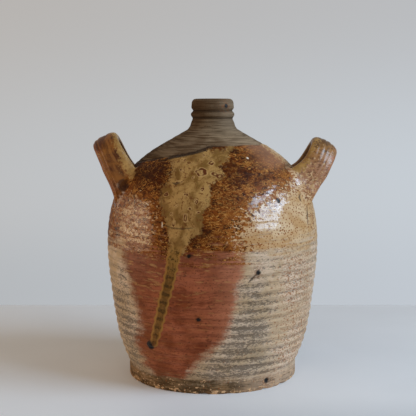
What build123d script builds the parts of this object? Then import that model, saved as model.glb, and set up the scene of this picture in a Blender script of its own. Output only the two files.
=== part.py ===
from build123d import *
from math import cos, radians, sin, tan
import os

# A two-handled stoneware jug. Millimetres, +Z up, +X through the right handle, -Y to the front,
# and the origin on the jug's axis at the underside of its foot. The clay pieces are those that a
# potter joins with slip, and neighbours meet face to face on flat or conical seats.

# Heights above the table.
HEIGHT = 300.0
FLOOR_TOP = 10.0
BAND_TOP = 16.0
BELLY_LINE = 148.0
NECK_BASE = 262.3
NECK_TOP = 287.0

# Outside radii at those heights.
FOOT_RADIUS = 91.5
BELLY_RADIUS = 114.2
NECK_BASE_RADIUS = 34.2
NECK_TOP_RADIUS = 21.8
LIP_RADIUS = 23.3

# Clay thickness and the mouth that a cork fits.
WALL = 7.0
FOOT_WALL = 8.5
MOUTH_RADIUS = 13.5
MOUTH_BASE = 270.0
SEAT_DROP = 3.0          # how far each conical seat falls towards the inside
EDGE_ROUND = 1.5

# Outside of the walls between the heights above, as (radius, height).
LOWER_SWELL = [(101.6, 45.0), (108.2, 80.0)]
SHOULDER_CURVE = [(108.1, 190.0), (92.3, 220.0), (72.2, 240.0), (48.3, 255.0)]
NECK_RINGS = [(26.2, 268.0), (23.8, 273.0), (22.7, 278.0), (23.6, 283.0)]
FOOT_FLARE = (0.35, 1.0)         # direction in which the wall leaves the foot
NECK_FLARE = (-1.0, 0.6)         # direction in which the shoulder runs into the neck
NECK_HOLE = (27.0, 255.2)        # inner edge of the shoulder's seat for the neck

# Handles: a strap bent over a round crown, on two straight legs that spread apart downwards and
# root in the shoulder.
STRAP_THICKNESS = 13.4
STRAP_EDGE = 5.6
PAD_HEIGHT = 15.6                # where the strap ends and the pad begins, along the leg
PAD_DEPTH = 14.0                 # how far the pad is carried down before the wall trims it
PAD_FLARE = [(PAD_HEIGHT, 0.0), (0.0, 4.0), (-PAD_DEPTH, 15.0)]     # place on the leg, growth

# Each handle: side, root centre (x, z), outward lean, height of the arch over its root, radius of
# its crown, spread of each leg in degrees, strap width.
HANDLES = {
    "left": (-1, 91.4, 206.0, 26.8, 53.8, 25.0, 16.0, 27.4),
    "right": (1, 93.5, 204.4, 31.5, 52.2, 27.0, 14.0, 29.2),
}


def seat(point):
    """The lower, inner end of a conical seat that starts at an outer point."""
    radius, height = point
    return radius - WALL, height - SEAT_DROP


foot_seat = (FOOT_RADIUS - FOOT_WALL, FLOOR_TOP)
belly_seat = seat((BELLY_RADIUS, BELLY_LINE))
lip_seat = (MOUTH_RADIUS, NECK_TOP - SEAT_DROP / 2)
neck_hole_top = (NECK_BASE_RADIUS, NECK_BASE)


# The base slab that the walls are raised on.
with BuildPart() as foot:
    with BuildSketch():
        Circle(FOOT_RADIUS)
    extrude(amount=FLOOR_TOP)
    chamfer(foot.edges().group_by(Axis.Z)[0], EDGE_ROUND)
foot.part.label = "foot"


# The thrown lower half: a straight band above the slab, then the swell up to the widest line.
with BuildPart() as lower_wall:
    with BuildSketch(Plane.XZ):
        with BuildLine():
            Line((FOOT_RADIUS, FLOOR_TOP), (FOOT_RADIUS, BAND_TOP))
            Spline(
                (FOOT_RADIUS, BAND_TOP),
                *LOWER_SWELL,
                (BELLY_RADIUS, BELLY_LINE),
                tangents=[FOOT_FLARE, (0, 1)],
            )
            Line((BELLY_RADIUS, BELLY_LINE), belly_seat)
            Spline(
                belly_seat,
                *[(radius - WALL, height) for radius, height in reversed(LOWER_SWELL)],
                foot_seat,
                tangents=[(0, -1), (-FOOT_FLARE[0], -1)],
            )
            Line(foot_seat, (FOOT_RADIUS, FLOOR_TOP))
        make_face()
    revolve(axis=Axis.Z)
lower_wall.part.label = "lower_wall"


# The thrown upper half, closing in to the neck opening. The inside follows the outside, a
# wall's thickness further in and, where the shoulder flattens, further down.
inner_shoulder = [
    (radius - WALL * sin(radians(angle)), height - WALL * cos(radians(angle)))
    for (radius, height), angle in zip(SHOULDER_CURVE, (66, 52, 40, 28))
]
with BuildPart() as shoulder:
    with BuildSketch(Plane.XZ):
        with BuildLine():
            Spline(
                (BELLY_RADIUS, BELLY_LINE),
                *SHOULDER_CURVE,
                neck_hole_top,
                tangents=[(0, 1), NECK_FLARE],
            )
            Line(neck_hole_top, NECK_HOLE)
            Spline(
                NECK_HOLE,
                *reversed(inner_shoulder),
                belly_seat,
                tangents=[(-NECK_FLARE[0], -NECK_FLARE[1]), (0, -1)],
            )
            Line(belly_seat, (BELLY_RADIUS, BELLY_LINE))
        make_face()
    revolve(axis=Axis.Z)
shoulder.part.label = "shoulder"


# The collar on the shoulder: a flare, a groove, a ridge and the groove under the lip outside,
# and a funnel that opens into the jug inside.
with BuildPart() as neck:
    with BuildSketch(Plane.XZ):
        with BuildLine():
            Spline(
                neck_hole_top,
                *NECK_RINGS,
                (NECK_TOP_RADIUS, NECK_TOP),
                tangents=[NECK_FLARE, (-0.5, 1)],
            )
            Line((NECK_TOP_RADIUS, NECK_TOP), lip_seat)
            Line(lip_seat, (MOUTH_RADIUS, MOUTH_BASE))
            Spline((MOUTH_RADIUS, MOUTH_BASE), NECK_HOLE, tangents=[(0, -1), (1, -0.6)])
            Line(NECK_HOLE, neck_hole_top)
        make_face()
    revolve(axis=Axis.Z)
neck.part.label = "neck"


# The rounded ring around the mouth.
with BuildPart() as lip:
    with BuildSketch(Plane.XZ):
        with BuildLine():
            crown = ((MOUTH_RADIUS + NECK_TOP_RADIUS) / 2, HEIGHT)
            Spline(
                (NECK_TOP_RADIUS, NECK_TOP),
                (LIP_RADIUS, NECK_TOP + 4.3),
                (NECK_TOP_RADIUS, NECK_TOP + 9.2),
                crown,
                tangents=[(0.8, 1), (-1, 0)],
            )
            Line(crown, (MOUTH_RADIUS + EDGE_ROUND, HEIGHT))
            Line((MOUTH_RADIUS + EDGE_ROUND, HEIGHT), (MOUTH_RADIUS, HEIGHT - EDGE_ROUND))
            Line((MOUTH_RADIUS, HEIGHT - EDGE_ROUND), lip_seat)
            Line(lip_seat, (NECK_TOP_RADIUS, NECK_TOP))
        make_face()
    revolve(axis=Axis.Z)
lip.part.label = "lip"


# The upper half as a filled form, which trims the handle pads to the wall's outer surface.
with BuildPart() as wall_form:
    with BuildSketch(Plane.XZ):
        with BuildLine():
            Spline(
                (BELLY_RADIUS, BELLY_LINE),
                *SHOULDER_CURVE,
                neck_hole_top,
                tangents=[(0, 1), NECK_FLARE],
            )
            Polyline(neck_hole_top, (0, NECK_BASE), (0, BELLY_LINE), (BELLY_RADIUS, BELLY_LINE))
        make_face()
    revolve(axis=Axis.Z)


def arch_plane(side, root_x, root_z, lean):
    """The plane that a handle's arch lies in: local x to one root, local y up the lean."""
    return Plane(
        origin=(side * root_x, 0, root_z),
        x_dir=(0, side, 0),
        z_dir=(side * cos(radians(lean)), 0, -sin(radians(lean))),
    )


def leg_points(arch_height, crown_radius, spread):
    """Foot and top of the leg on the +x side of an arch, in the arch's plane."""
    top = (
        crown_radius * cos(radians(spread)),
        arch_height - crown_radius + crown_radius * sin(radians(spread)),
    )
    return (top[0] + top[1] * tan(radians(spread)), 0.0), top


def on_leg(foot, spread, place):
    """The point of that leg at a distance along it, below zero under its foot."""
    return foot[0] - place * sin(radians(spread)), foot[1] + place * cos(radians(spread))


def leg_plane(arch, leg_side, point, spread):
    """The plane across a leg at a point of it: local x through the strap's width."""
    inwards = -leg_side * sin(radians(spread))
    return Plane(
        origin=arch.from_local_coords((leg_side * point[0], point[1], 0)),
        x_dir=arch.z_dir,
        z_dir=Vector(arch.x_dir) * inwards + Vector(arch.y_dir) * cos(radians(spread)),
    )


finished = [foot, lower_wall, shoulder, neck, lip]

for name, (side, root_x, root_z, lean, arch_height, crown_radius, spread, width) in HANDLES.items():
    arch = arch_plane(side, root_x, root_z, lean)
    leg_foot, leg_top = leg_points(arch_height, crown_radius, spread)
    strap_end = on_leg(leg_foot, spread, PAD_HEIGHT)

    # The strap itself: two legs and the crown between them.
    with BuildPart() as handle:
        with BuildLine(arch):
            Line((-strap_end[0], strap_end[1]), (-leg_top[0], leg_top[1]))
            ThreePointArc((-leg_top[0], leg_top[1]), (0, arch_height), leg_top)
            Line(leg_top, strap_end)
        with BuildSketch(leg_plane(arch, -1, strap_end, spread)):
            RectangleRounded(width, STRAP_THICKNESS, STRAP_EDGE)
        sweep()
    handle.part.label = f"{name}_handle"
    finished.append(handle)

    # The pads at its two ends, spreading on to the wall.
    for end, leg_side in (("front", -side), ("rear", side)):
        with BuildPart() as pad:
            for place, growth in PAD_FLARE:
                point = on_leg(leg_foot, spread, place)
                with BuildSketch(leg_plane(arch, leg_side, point, spread)):
                    RectangleRounded(
                        width + growth,
                        STRAP_THICKNESS + growth,
                        STRAP_EDGE + growth / 2,
                    )
            loft()
            add(wall_form.part, mode=Mode.SUBTRACT)
        pad.part.label = f"{name}_{end}_pad"
        finished.append(pad)


os.makedirs("parts", exist_ok=True)
for piece in finished:
    export_step(piece.part, f"parts/{piece.part.label}.step")
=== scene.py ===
import bpy
import numpy as np
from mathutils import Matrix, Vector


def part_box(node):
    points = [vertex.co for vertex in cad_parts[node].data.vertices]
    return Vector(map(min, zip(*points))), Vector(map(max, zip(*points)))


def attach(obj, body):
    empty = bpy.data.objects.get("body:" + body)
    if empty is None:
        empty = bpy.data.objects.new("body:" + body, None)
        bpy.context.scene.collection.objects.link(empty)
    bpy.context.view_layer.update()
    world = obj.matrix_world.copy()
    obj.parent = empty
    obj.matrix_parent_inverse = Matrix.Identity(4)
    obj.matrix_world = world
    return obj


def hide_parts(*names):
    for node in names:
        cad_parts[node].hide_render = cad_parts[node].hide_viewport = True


# A wood-fired two-handled stoneware jug. Shapes are worked out in millimetres, in the frame of
# the CAD model, and turned into metres where a mesh is made. Azimuth 0 is the front (-Y) and
# azimuth 90 the side of the right handle (+X).

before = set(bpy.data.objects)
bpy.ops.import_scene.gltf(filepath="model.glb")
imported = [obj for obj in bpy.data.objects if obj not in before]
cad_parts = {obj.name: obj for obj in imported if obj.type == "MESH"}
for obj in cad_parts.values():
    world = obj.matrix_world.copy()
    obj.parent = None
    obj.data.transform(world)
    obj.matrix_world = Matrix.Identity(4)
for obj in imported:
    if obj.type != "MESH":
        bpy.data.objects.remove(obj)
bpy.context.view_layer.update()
MM = 0.001


def high(node):
    """The highest corner of a CAD node, in millimetres."""
    return np.array(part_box(node)[1]) / MM


def low(node):
    """The lowest corner of a CAD node, in millimetres."""
    return np.array(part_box(node)[0]) / MM


# ---------------------------------------------------------------- sizes, from the frame
SKIN = 0.55                        # room left under the CAD surface for relief
HEIGHT = high("lip")[2] - 0.3
FLOOR_TOP = high("foot")[2]
BELLY_LINE = low("shoulder")[2]
NECK_BASE = high("shoulder")[2]
NECK_TOP = high("neck")[2]
FOOT_RADIUS = high("foot")[0] - SKIN
BELLY_RADIUS = high("shoulder")[0] - SKIN
LIP_RADIUS = high("lip")[0] - SKIN
MOUTH_RADIUS = 13.5
WALL = 7.0
BAND_TOP = 16.0                    # top of the rough band above the foot
# Painted shade darkens the neck's two grooves:
NECK_HOLLOWS = (287, 279.5)        # the grooves under the lip and under the ridge
FOOT_ROUND = 2.0
SEAT_DROP = 3.0                    # how far each conical seat falls towards the inside

ROW_SPACING = 1.12                 # how far apart the rings of the body's mesh are
NECK_ROW_SPACING = 0.8
COLUMNS = 600                      # points in each of them
SECTION_POINTS = 96                # points round a handle's section

# Outside of the body and of the neck, and the inside from the mouth down, as (radius, height).
COLLAR_FOOT = (27.0, 266.9)
NECK_HOLE = (27.0, 255.2)
LIP_BASE = 290.0                   # from here up the clay is the lip's smooth rounding
BODY_POINTS = [
    (FOOT_RADIUS, BAND_TOP), (101.2, 45.0), (107.6, 80.0), (BELLY_RADIUS, BELLY_LINE),
    (107.5, 190.0), (91.7, 220.0), (71.6, 240.0), (47.7, 255.0), COLLAR_FOOT,
]
NECK_POINTS = [
    COLLAR_FOOT, (24.4, 270.5), (22.9, 275.0), (21.7, 278.9), (23.1, 281.4), (23.2, 284.3),
    (21.2, NECK_TOP), (22.6, 289.3), (LIP_RADIUS, 292.5), (22.2, 296.6), (20.0, 299.2),
    (17.6, HEIGHT), (15.0, 299.3), (MOUTH_RADIUS + 0.1, 296.6), (MOUTH_RADIUS, LIP_BASE),
]
INSIDE_POINTS = [
    (MOUTH_RADIUS, LIP_BASE), (MOUTH_RADIUS, 270.0), (17.5, 262.5), NECK_HOLE, (45.0, 248.0),
    (67.5, 234.0), (101.7, 187.0), (BELLY_RADIUS - WALL, 144.0), (100.8, 80.0), (94.0, 45.0),
    (83.5, 16.0), (76.0, 10.4),
]


# ---------------------------------------------------------------- curves and noise
def smooth_curve(points, step=0.25):
    """A natural cubic spline through (radius, height) points, sampled finely."""
    points = np.array(points, float)
    knots = np.r_[0, np.cumsum(np.hypot(*np.diff(points, axis=0).T))]
    gaps = np.diff(knots)
    count = len(points)
    matrix = np.eye(count)
    right = np.zeros((count, 2))
    for i in range(1, count - 1):
        matrix[i, i - 1 : i + 2] = gaps[i - 1], 2 * (gaps[i - 1] + gaps[i]), gaps[i]
        rise = (points[i + 1] - points[i]) / gaps[i] - (points[i] - points[i - 1]) / gaps[i - 1]
        right[i] = 6 * rise
    bend = np.linalg.solve(matrix, right)
    at = np.linspace(0, knots[-1], int(knots[-1] / step) + 2)
    i = np.clip(np.searchsorted(knots, at, side="right") - 1, 0, count - 2)
    gap = gaps[i][:, None]
    before = (at - knots[i])[:, None]
    after = gap - before
    return (
        (bend[i] * after**3 + bend[i + 1] * before**3) / (6 * gap)
        + (points[i] / gap - bend[i] * gap / 6) * after
        + (points[i + 1] / gap - bend[i + 1] * gap / 6) * before
    )


def corner(x, y, z, seed):
    """A repeatable random number from 0 to 1 for each corner of a unit lattice."""
    mixed = (x * 374761393 + y * 668265263 + z * 1440662683 + seed * 974634777) & 0xFFFFFFFF
    mixed = ((mixed ^ (mixed >> 13)) * 1274126177) & 0xFFFFFFFF
    return ((mixed ^ (mixed >> 16)) & 0xFFFF) / 65535.0


def noise(points, size, seed):
    """Smooth random values from -1 to 1 that change over about `size` millimetres."""
    scaled = points / size
    cell = np.floor(scaled).astype(np.int64)
    part = scaled - cell
    part = part * part * (3 - 2 * part)
    total = np.zeros(points.shape[:-1])
    for offset in np.ndindex(2, 2, 2):
        weight = np.prod(np.where(offset, part, 1 - part), axis=-1)
        total += weight * corner(*np.moveaxis(cell + offset, -1, 0), seed)
    return total * 2 - 1


def bump(distance, width):
    """1 at no distance, falling smoothly to 0 over about twice the width."""
    return np.exp(-((distance / width) ** 2))


def step(value, soft):
    """0 well below zero, 1 well above, over a band of `soft` millimetres."""
    t = np.clip(value / soft + 0.5, 0, 1)
    return t * t * (3 - 2 * t)


class Curve:
    """A profile curve by arc length: radius, height and the outward direction across it."""

    def __init__(self, *runs):
        points = np.vstack([runs[0]] + [run[1:] for run in runs[1:]])
        self.length = np.r_[0, np.cumsum(np.hypot(*np.diff(points, axis=0).T))]
        self.radius, self.height = points.T
        along = np.gradient(points, self.length, axis=0)
        along /= np.hypot(*along.T)[:, None]
        self.along = along          # (radius, height) of the way the curve runs

    def at(self, s):
        """Radius, height and the two parts of the direction out, at an arc length."""
        radius = np.interp(s, self.length, self.radius)
        height = np.interp(s, self.length, self.height)
        out = np.interp(s, self.length, self.along[:, 1])
        up = -np.interp(s, self.length, self.along[:, 0])
        size = np.hypot(out, up)
        return radius, height, out / size, up / size

    def reach(self, height, start=0.0):
        """The arc length at which the curve, after `start`, first passes a height."""
        after = self.length >= start
        side = np.sign(self.height[after] - height)
        turn = np.nonzero(side[1:] != side[:-1])[0][0]
        lengths, heights = self.length[after], self.height[after]
        share = (height - heights[turn]) / (heights[turn + 1] - heights[turn])
        return lengths[turn] + share * (lengths[turn + 1] - lengths[turn])


foot_edge = [
    (FOOT_RADIUS - FOOT_ROUND * (1 - np.sin(angle)), FOOT_ROUND * (1 - np.cos(angle)))
    for angle in np.linspace(0, np.pi / 2, 9)
]
band = [(FOOT_RADIUS, z) for z in np.linspace(FOOT_ROUND, BAND_TOP, 30)]
outside = Curve(
    np.array(foot_edge), np.array(band), smooth_curve(BODY_POINTS), smooth_curve(NECK_POINTS)
)
inside = Curve(smooth_curve(INSIDE_POINTS))

TOP = np.argmax(outside.height) + 1         # how many points the outside has up to its crown
crown = outside.length[TOP - 1]
s_slab = outside.reach(FLOOR_TOP)
s_belly = outside.reach(BELLY_LINE)
s_neck = outside.reach(NECK_BASE)
s_lip = outside.reach(NECK_TOP, start=outside.reach(NECK_TOP - 3.0))


def radius_at(height):
    """The radius of the outside at a height."""
    return np.interp(height, outside.height[:TOP], outside.radius[:TOP])


def length_at(height):
    """The arc length at which the outside has a height."""
    return np.interp(height, outside.height[:TOP], outside.length[:TOP])


def azimuth_of(points):
    """The angle round the jug, in radians, from the front."""
    return np.arctan2(points[..., 0], -points[..., 1])


# ---------------------------------------------------------------- where each colour lies
# The line that the glaze was poured to, all the way round, as (azimuth, height).
GLAZE_EDGE = [
    (-180, 234), (-120, 231), (-75, 233), (-60, 236), (-45, 240), (-31, 242.5), (-19, 245),
    (-13, 247.5), (-3, 250), (10, 252), (39, 252.5), (64, 251), (85, 251), (104, 249), (128, 240),
    (180, 234),
]
# Outlines on the front are (across, height), as a person standing in front would point at them.
ASH_PATCH = [
    (-44, 240), (-32, 243.5), (-18, 246), (0, 250), (20, 250), (17, 239), (8, 231), (11, 222),
    (-1, 219), (-4, 212), (-3, 199), (-9, 190), (-9, 178), (-13, 168), (-19, 163), (-25, 158),
    (-27, 148), (-43, 148), (-43, 160), (-44, 172), (-49, 182), (-52, 198), (-54, 212), (-46, 219),
    (-40, 229),
]
# Runs are lines of (across, height, width).
RUN = [(-36, 160, 15), (-39, 146, 13.5), (-41, 134, 12.5), (-43.5, 121, 12), (-49, 100, 11.5),
       (-54, 78, 10.5), (-58.5, 60, 9.5), (-60.5, 52, 8)]
BLUSH = [
    (-92, 138), (-85, 116), (-79, 95), (-76, 74), (-76, 46), (-73, 24), (-58, 10), (-32, 13),
    (-10, 38), (9, 60), (19, 81), (23, 102), (26, 117), (30, 137), (34, 158), (30, 172), (-40, 174),
    (-92, 160),
]
# Thin pale glaze; on the left, pale flecks painted as a sheen.
CREAM = [(37, 187), (49, 195.5), (63, 203), (77, 209.5), (93, 214), (112, 205), (114, 150), (108, 136),
         (75, 140), (37, 146), (25, 162), (27, 176)]
# Painted sheen on the left: pale flecks that stand for a reflection of the light on that side; the
# glaze there is glossy too.
LEFT_PAINTED_SHEEN = [(-104, 192), (-94, 204), (-64, 198), (-58, 172), (-62, 148), (-102, 142)]
# Where the glaze is glossy, and a narrow glossy streak above that.
SHINE = [(38, 187), (49, 193.5), (63, 201), (76, 208.5), (81, 215), (89, 218), (91, 212), (82, 204),
         (75, 197), (69, 190), (66, 183), (68, 170), (53, 169), (38, 171)]
SHINE_STREAK = [(37, 195), (41, 201.5), (50, 203), (62, 210.5), (60, 206), (49, 199), (43, 195),
                (37, 191)]
# Soot in the throwing grooves, and rust flecks.
SMOKE = [(29, 118), (49, 116), (63, 98), (60, 77), (54, 51), (66, 14), (-13, 9), (-66, 7), (-24, 25),
         (2, 46), (19, 65), (25, 91)]
LEFT_SMOKE = [(-110, 104), (-88, 104), (-77, 74), (-70, 47), (-66, 14), (-90, 12), (-104, 50)]
RUST = [(62, 150), (113, 150), (113, 10), (58, 14), (64, 60), (63, 110)]
# The back's own marks, as a person standing behind the jug would point at them.
BACK_ASH = [(-30, 246), (14, 248), (34, 236), (28, 214), (40, 196), (30, 172), (12, 160), (2, 178),
            (-12, 190), (-26, 206), (-20, 226)]
BACK_RUN = [(20, 176, 15), (23, 158, 11), (25, 136, 9), (30, 112, 8), (33, 92, 6.5)]
BACK_BLUSH = [(-60, 138), (-20, 146), (36, 140), (60, 116), (52, 76), (26, 46), (-8, 34), (-40, 52),
              (-62, 92)]

# Ash that ran down from the left handle on to its root.
HOOK = [(-94, 234), (-90, 222), (-84, 214.5), (-74, 216), (-75, 221), (-81, 224), (-84, 234)]

# Rings that burst bubbles left in the ash: across, height, radius, how narrow each is.
ASH_RINGS = [
    (-12, 228, 4.4, 0.8), (2, 226, 3.0, 0.7), (7, 224, 2.6, 0.8), (-1, 236, 2.0, 0.8),
    (-31, 229, 1.7, 1.0), (-20, 222, 1.5, 1.0), (-11, 211, 2.2, 0.9), (-34, 218, 2.2, 0.7),
    (-27, 206, 1.6, 0.8), (-17, 200, 1.7, 1.0), (-27, 184, 3.2, 1.3), (-39, 178, 2.4, 1.2),
    (-14, 189, 1.8, 1.0), (-36, 196, 1.8, 1.2), (-30, 238, 1.5, 1.0), (-9, 243, 1.5, 0.9),
    (-46, 205, 2.0, 1.0), (-23, 192, 1.3, 1.0), (-41, 188, 1.6, 1.0),
]
# Strokes of dark glaze or soot on the front, each a line of (across, height, width).
DARK_STROKES = [
    [(-47, 175.5, 0.8), (-39, 173.6, 1.4), (-29, 173.4, 1.4), (-20, 174.6, 0.8)],
    [(-56, 236, 1.0), (-38, 241, 1.8), (-22, 244, 1.6), (-6, 248, 0.8)],
    [(-28, 146.6, 1.2), (-21, 147.2, 2.4), (-18, 146.6, 1.0)],
    [(-41, 217, 1.2), (-37, 216, 2.4), (-33, 217.5, 1.0)],
    [(35, 119, 1.0), (39, 123, 2.2), (44, 128, 1.4)],
    [(-96.5, 120, 1.0), (-92, 117, 2.2), (-88.4, 115, 1.2)],
    [(98.5, 190, 1.0), (98.5, 180, 1.5), (99, 170, 1.0)],
    [(92, 203, 0.8), (89.5, 199, 1.5), (91, 195.5, 1.0)],
    [(-81, 207, 0.8), (-80, 196, 1.3), (-79, 188, 0.8)],
]
# Painted glints: small highlights painted as bright threads, given in the same way.
PAINTED_GLINTS = [[(-67.5, 196, 0.9), (-65, 194.3, 1.3)], [(-50.7, 179, 0.9), (-50.3, 174, 1.2)],
          [(35, 240.4, 1.3), (36.2, 239.8, 1.3)]]
# Soft dark patches on the front, most of them painted shade in the hollows by the handles' roots
# and a few darker glaze: across, height, half width, half height, strength.
PAINTED_SHADE_AND_DARK_GLAZE = [
    (-80, 226, 8, 8, 1.0), (-70, 224, 17, 11, 0.75), (-52, 229, 17, 10, 0.65), (78, 229, 7, 5, 0.95),
    (88, 229, 9, 6, 0.6), (40, 241, 16, 6, 0.3), (13, 203, 12, 16, 0.25), (-84, 202, 10, 12, 0.2),
    (-6, 165, 12, 9, 0.35),
]
# Dark spots, knots and pits: azimuth, height, radius, how far they stand out (or in).
SPOTS = [
    (-38.4, 49.3, 4.6, 1.3), (-7.6, 82, 2.3, 0.5), (39, 198.5, 2.2, 0.7), (38.6, 292.3, 2.4, 0.7),
    (23.4, 129, 2.5, 0.6), (38, 9, 2.8, -1.2), (-12, 146.5, 2.2, -0.4), (30, 240, 1, -0.3),
    (128, 64, 2.6, 0.5), (170, 98, 3, 0.9), (-140, 168, 2, -0.5), (104, 120, 1.8, 0.4),
    (-100, 88, 2, -0.4), (-160, 40, 2.4, 0.5),
]
BEAD_PITCH = 9.2                   # how far apart the beads in a run are
FAR = -40.0                        # a depth well outside every outline


def from_segment(x, z, start, end):
    """How far along a straight line the nearest place to each point is, from 0 to 1, and its
    distance from the point."""
    dx, dz = end[0] - start[0], end[1] - start[1]
    t = np.clip(((x - start[0]) * dx + (z - start[1]) * dz) / (dx * dx + dz * dz), 0, 1)
    return t, np.hypot(x - start[0] - t * dx, z - start[1] - t * dz)


def outline_depth(x, z, outline):
    """Distance into a closed outline in millimetres, below zero outside it."""
    nearest = np.full(x.shape, np.inf)
    within = np.zeros(x.shape, bool)
    for (x0, z0), (x1, z1) in zip(outline[-1:] + outline[:-1], outline):
        _, away = from_segment(x, z, (x0, z0), (x1, z1))
        nearest = np.minimum(nearest, away)
        if z0 != z1:
            within ^= ((z0 > z) != (z1 > z)) & (x < x0 + (z - z0) * (x1 - x0) / (z1 - z0))
    return np.where(within, nearest, -nearest)


def run_depth(x, z, run):
    """Distance into a run of glaze, and how far down it a point is, in millimetres."""
    best = np.full(x.shape, -np.inf)
    down = np.zeros(x.shape)
    travelled = 0.0
    for (x0, z0, w0), (x1, z1, w1) in zip(run, run[1:]):
        t, away = from_segment(x, z, (x0, z0), (x1, z1))
        length = np.hypot(x1 - x0, z1 - z0)
        depth = (w0 + (w1 - w0) * t) / 2 - away
        down = np.where(depth > best, travelled + t * length, down)
        best = np.maximum(best, depth)
        travelled += length
    return best, down


def lines_depth(x, z, lines):
    """Distance into the nearest of several lines of (across, height, width)."""
    return np.max([run_depth(x, z, line)[0] for line in lines], axis=0)


def away_from_spot(points, spot_azimuth, spot_z):
    """Distance over the surface from a place given by its azimuth in degrees and its height."""
    turn = (np.degrees(azimuth_of(points)) - spot_azimuth + 180) % 360 - 180
    around = np.hypot(points[..., 0], points[..., 1])
    return np.hypot(np.radians(turn) * around, points[..., 2] - spot_z)


def marks(points):
    """How much of each mark every point has. Depths are in millimetres, above zero inside."""
    x, y, z = np.moveaxis(points, -1, 0)
    azimuth = np.degrees(azimuth_of(points))
    front = y < 0
    facing = step(-y, 60.0)             # 1 on the front, 0 on the back, turning over the sides
    seen_x = np.where(front, x, -x)
    ragged = noise(points, 9.0, 11) * 2.2 + noise(points, 3.2, 12) * 1.2
    made = {}

    def either(*outlines):
        """The depth in one outline on the front and in another on the back."""
        return np.where(front, *[outline_depth(seen_x, z, outline) for outline in outlines])

    edge = np.interp(azimuth, *np.array(GLAZE_EDGE, float).T)
    made["glaze"] = edge - z + noise(points, 11.0, 13) * 0.9
    made["ash"] = either(ASH_PATCH, BACK_ASH) + ragged
    made["blush"] = either(BLUSH, BACK_BLUSH) + noise(points, 16.0, 15) * 3.0 + ragged * 0.6

    run_front, down_front = run_depth(seen_x, z, RUN)
    run_back, down_back = run_depth(seen_x, z, BACK_RUN)
    down = np.where(front, down_front, down_back)
    beads = np.cos(down * 2 * np.pi / BEAD_PITCH)
    made["run"] = np.where(front, run_front, run_back) + 0.5 * beads + noise(points, 3.0, 14) * 0.4
    made["beads"] = beads

    # Thin cream glaze on the front right and on round the right side; on the left, pale flecks
    # painted as a sheen.
    left_painted_sheen = outline_depth(x, z, LEFT_PAINTED_SHEEN)
    cream = np.where(front, outline_depth(x, z, CREAM), FAR)
    # Painted sheen: the left outline adds pale flecks that stand for a reflection.
    cream = np.maximum(cream, np.minimum(left_painted_sheen - 9.0, 1.0))
    right_side = np.minimum(34.0 - np.abs(azimuth - 100.0), 0.55 * (z - 140.0))
    made["cream"] = np.maximum(cream, np.where(azimuth > 60, right_side, FAR)) + ragged

    # Gloss and smoke follow outlines on the front and chance on the back.
    shine = np.maximum(outline_depth(x, z, SHINE), outline_depth(x, z, SHINE_STREAK))
    shine = np.clip(np.maximum(shine, left_painted_sheen - 2.0), -8, 8)
    made["shine"] = facing * shine + (1 - facing) * 8.0 * noise(points, 30.0, 24)
    smoke = np.maximum(outline_depth(x, z, SMOKE), outline_depth(x, z, LEFT_SMOKE))
    smoke = np.clip(smoke, -12, 14)
    made["smoke"] = facing * smoke + (1 - facing) * 7.0 * noise(points, 40.0, 18)
    made["side"] = x / np.maximum(np.hypot(x, y), 1.0)
    made["strap"] = made["streak"] = np.zeros(x.shape)      # for the handles to fill in
    made["scorch"] = bump((azimuth + 22.0) / 40.0, 1.0)
    made["rust"] = np.clip(outline_depth(x, z, RUST), -10, 14)

    rings = np.zeros(x.shape)
    bent_x = x + 1.7 * noise(points, 4.5, 16)
    bent_z = z + 1.7 * noise(points, 4.5, 19)
    uneven = 0.65 + 0.45 * noise(points, 3.0, 20)
    for ring_x, ring_z, radius, squash in ASH_RINGS:
        away = np.hypot((bent_x - ring_x) * squash, (bent_z - ring_z) / squash)
        rings = np.maximum(rings, bump(away - radius * 0.7, 0.42 * radius) * uneven)
    made["rings"] = np.clip(rings, 0, 1) * front
    strokes = np.clip(lines_depth(x, z, DARK_STROKES) + ragged * 0.12, -3, 3)
    made["strokes"] = np.where(front, strokes, -3.0)
    # Painted glints: small highlights painted in as colour.
    made["glints"] = np.where(front, np.maximum(lines_depth(x, z, PAINTED_GLINTS), -3.0), -3.0)
    # Painted shade in the hollows by the handles' roots, and a few darker patches of glaze.
    shade = np.zeros(x.shape)
    for shade_x, shade_z, wide, tall, strength in PAINTED_SHADE_AND_DARK_GLAZE:
        away = np.hypot((x - shade_x) / wide, (z - shade_z) / tall)
        shade = np.maximum(shade, strength * bump(away, 0.8))
    made["shade"] = shade * front

    made["spots"] = np.zeros(x.shape)
    made["halo"] = np.zeros(x.shape)
    wobble = 0.7 * noise(points, 2.0, 17)
    for spot_azimuth, spot_z, radius, _ in SPOTS:
        away = away_from_spot(points, spot_azimuth, spot_z)
        made["spots"] = np.maximum(made["spots"], step(radius - away + wobble, 1.3))
        made["halo"] = np.maximum(made["halo"], bump(away, 3.2 * radius))
    return made


# ---------------------------------------------------------------- relief of the thrown body
RING_PITCH = 8.8
INNER_RING_PITCH = 14.0
WIRE_PITCH = 5.5                   # of the arcs that the wire left under the foot
# How high the finger ridges stand, as (height on the jug, half of their own height).
RING_HEIGHT = [(0, 0.05), (16, 0.2), (30, 0.70), (100, 0.66), (138, 0.45), (160, 0.22), (200, 0.12),
               (236, 0.14), (262, 0.08), (300, 0.0)]
CRACK_AZIMUTH = 62.0               # a hair crack in the glaze, between two heights
CRACK_HEIGHTS = (166, 188)


def throwing_rings(points, s):
    """The finger ridges, from -1 to 1, rising round the jug by one pitch a turn."""
    turns = s / RING_PITCH + azimuth_of(points) / (2 * np.pi)
    drift = 0.16 * noise(points * (1, 1, 3), 60.0, 21)
    ridge = np.cos(2 * np.pi * (turns + drift))
    uneven = 0.75 + 0.35 * noise(points * (0.35, 0.35, 1.0), 9.0, 22)
    fine = noise(points * (0.06, 0.06, 1.0), 1.5, 23)
    return ridge * uneven + 0.45 * fine


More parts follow.
